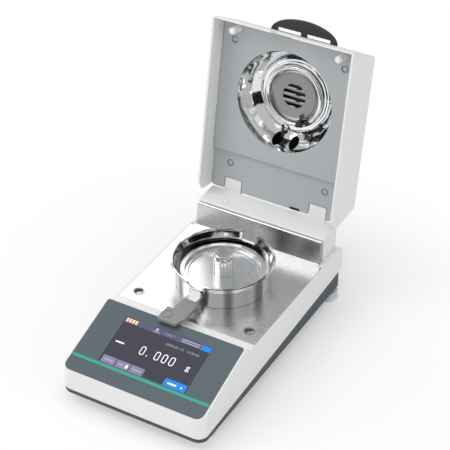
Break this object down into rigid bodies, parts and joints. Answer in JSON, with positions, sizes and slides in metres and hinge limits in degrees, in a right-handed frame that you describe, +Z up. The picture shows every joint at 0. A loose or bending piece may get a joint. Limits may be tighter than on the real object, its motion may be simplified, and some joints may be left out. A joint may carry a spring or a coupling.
{
  "type": "moisture analyzer",
  "caption": "Benchtop moisture analyzer: sloping display, hinged lid with a ring lamp in a reflector, and a balance pan inside a round draft shield.",
  "frame": {"origin": "middle of the whole box, on the table that the feet stand on", "axes": "+X to the right as seen by the user, +Y to the back, +Z up; the lid is open at rest"},
  "size_m": [0.19, 0.3942, 0.3266],
  "materials": {
    "housing_white": "fine-grained moulded plastic, satin",
    "lid_white": "fine-grained moulded plastic, satin",
    "tray_slate": "satin moulded plastic",
    "deck_steel": "brushed stainless sheet",
    "overlay_slate": "printed foil, semi-gloss",
    "screen_glass": "dark screen under a clear sheet",
    "liner_grey": "satin grey paint on sheet",
    "reflector_mirror": "bright pressed bowl",
    "disc_grey": "turned, satin",
    "lamp_glass": "clear quartz tube",
    "ceramic": "dark fired ceramic",
    "handle_black": "satin moulded plastic",
    "clear_rubber": "translucent soft plastic",
    "wheel_grey": "translucent hard plastic",
    "screw_steel": "bright steel",
    "dark_steel": "dark plated",
    "plated_steel": "zinc plated sheet",
    "shield_chrome": "polished stainless",
    "pan_steel": "polished stainless sheet",
    "weight_chrome": "polished",
    "handler_steel": "matt grey",
    "socket_black": "moulded",
    "rocker_black": "moulded, glossy",
    "board_green": "laminate with components",
    "aluminium": "machined",
    "brass": "turned",
    "bronze": "sintered"
  },
  "bodies": {
    "base": {"upper_housing": "housing_white", "bottom_tray": "tray_slate", "hinge_block": "housing_white", "hinge_bushes": "bronze", "plunger_guide": "housing_white", "deck_plate": "deck_steel", "deck_cups": "dark_steel", "deck_screws": "screw_steel", "display_overlay": "overlay_slate", "lcd_screen": "screen_glass", "lcd_frame": "plated_steel", "main_board": "board_green", "power_supply": "board_green", "load_cell": "aluminium", "load_cell_mounts": "aluminium", "weighing_spindle": "screw_steel", "pan_support": "aluminium", "mains_inlet": "socket_black", "switch_body": "socket_black", "serial_port": "plated_steel", "tray_screws": "screw_steel", "foot_inserts": "brass"},
    "lid": {"lid_shell": "lid_white", "lid_liner": "liner_grey", "lid_liner_lower": "liner_grey", "cable_clip": "socket_black", "liner_screws": "screw_steel", "reflector_bowl": "reflector_mirror", "reflector_disc": "disc_grey", "ring_lamp": "lamp_glass", "lamp_caps": "ceramic", "lamp_posts": "dark_steel", "temperature_probe": "screw_steel", "bumper_pegs": "clear_rubber", "lid_handle": "handle_black", "handle_screws": "screw_steel", "hinge_brackets": "plated_steel", "hinge_pins": "screw_steel"},
    "lid_plunger": {"lid_plunger": "handle_black"},
    "switch_rocker": {"switch_rocker": "rocker_black"},
    "draft_shield": {"draft_shield": "shield_chrome"},
    "pan_handler": {"pan_handler": "handler_steel"},
    "sample_pan": {"sample_pan": "pan_steel"},
    "calibration_weight": {"calibration_weight": "weight_chrome"},
    "foot_pad_front_left": {"foot_pad_front_left": "clear_rubber"},
    "foot_wheel_front_left": {"foot_wheel_front_left": "wheel_grey"},
    "foot_pad_front_right": {"foot_pad_front_right": "clear_rubber"},
    "foot_wheel_front_right": {"foot_wheel_front_right": "wheel_grey"},
    "foot_pad_rear_left": {"foot_pad_rear_left": "clear_rubber"},
    "foot_wheel_rear_left": {"foot_wheel_rear_left": "wheel_grey"},
    "foot_pad_rear_right": {"foot_pad_rear_right": "clear_rubber"},
    "foot_wheel_rear_right": {"foot_wheel_rear_right": "wheel_grey"}
  },
  "joints": [
    {"name": "lid_hinge", "type": "hinge", "parent": "base", "child": "lid", "pos_m": [0, 0.13089, 0.1057], "axis": [-1, 0, 0], "range_deg": [-100, 0]},
    {"name": "shield_lift", "type": "slide", "parent": "base", "child": "draft_shield", "axis": [0, 0, 1], "range_m": [0, 0.06]},
    {"name": "handler_lift", "type": "slide", "parent": "draft_shield", "child": "pan_handler", "axis": [0, 0, 1], "range_m": [0, 0.05]},
    {"name": "pan_lift", "type": "slide", "parent": "pan_handler", "child": "sample_pan", "axis": [0, 0, 1], "range_m": [0, 0.04]},
    {"name": "weight_lift", "type": "slide", "parent": "sample_pan", "child": "calibration_weight", "axis": [0, 0, 1], "range_m": [0, 0.05]},
    {"name": "lid_plunger_slide", "type": "slide", "parent": "base", "child": "lid_plunger", "axis": [0, 0, -1], "range_m": [0, 0.0015], "stiffness_N_per_m": 300, "springref_m": -0.001},
    {"name": "rocker_tilt", "type": "hinge", "parent": "base", "child": "switch_rocker", "pos_m": [-0.022, 0.13119, 0.0485], "axis": [-1, 0, 0], "range_deg": [0, 20]},
    {"name": "foot_height_front_left", "type": "slide", "parent": "base", "child": "foot_pad_front_left", "axis": [0, 0, -1], "range_m": [-0.002, 0.002]},
    {"name": "foot_turn_front_left", "type": "hinge", "parent": "foot_pad_front_left", "child": "foot_wheel_front_left", "pos_m": [-0.072, -0.16411, 0.005], "axis": [0, 0, 1], "range_deg": [-580, 580]},
    {"name": "foot_height_front_right", "type": "slide", "parent": "base", "child": "foot_pad_front_right", "axis": [0, 0, -1], "range_m": [-0.002, 0.002]},
    {"name": "foot_turn_front_right", "type": "hinge", "parent": "foot_pad_front_right", "child": "foot_wheel_front_right", "pos_m": [0.072, -0.16411, 0.005], "axis": [0, 0, 1], "range_deg": [-580, 580]},
    {"name": "foot_height_rear_left", "type": "slide", "parent": "base", "child": "foot_pad_rear_left", "axis": [0, 0, -1], "range_m": [-0.002, 0.002]},
    {"name": "foot_turn_rear_left", "type": "hinge", "parent": "foot_pad_rear_left", "child": "foot_wheel_rear_left", "pos_m": [-0.081, 0.11489, 0.005], "axis": [0, 0, 1], "range_deg": [-580, 580]},
    {"name": "foot_height_rear_right", "type": "slide", "parent": "base", "child": "foot_pad_rear_right", "axis": [0, 0, -1], "range_m": [-0.002, 0.002]},
    {"name": "foot_turn_rear_right", "type": "hinge", "parent": "foot_pad_rear_right", "child": "foot_wheel_rear_right", "pos_m": [0.081, 0.11489, 0.005], "axis": [0, 0, 1], "range_deg": [-580, 580]}
  ],
  "couplings": [
    {"joint": "foot_turn_front_left", "follows": "foot_height_front_left", "rad_per_m": 5026.5},
    {"joint": "foot_turn_front_right", "follows": "foot_height_front_right", "rad_per_m": 5026.5},
    {"joint": "foot_turn_rear_left", "follows": "foot_height_rear_left", "rad_per_m": 5026.5},
    {"joint": "foot_turn_rear_right", "follows": "foot_height_rear_right", "rad_per_m": 5026.5}
  ]
}
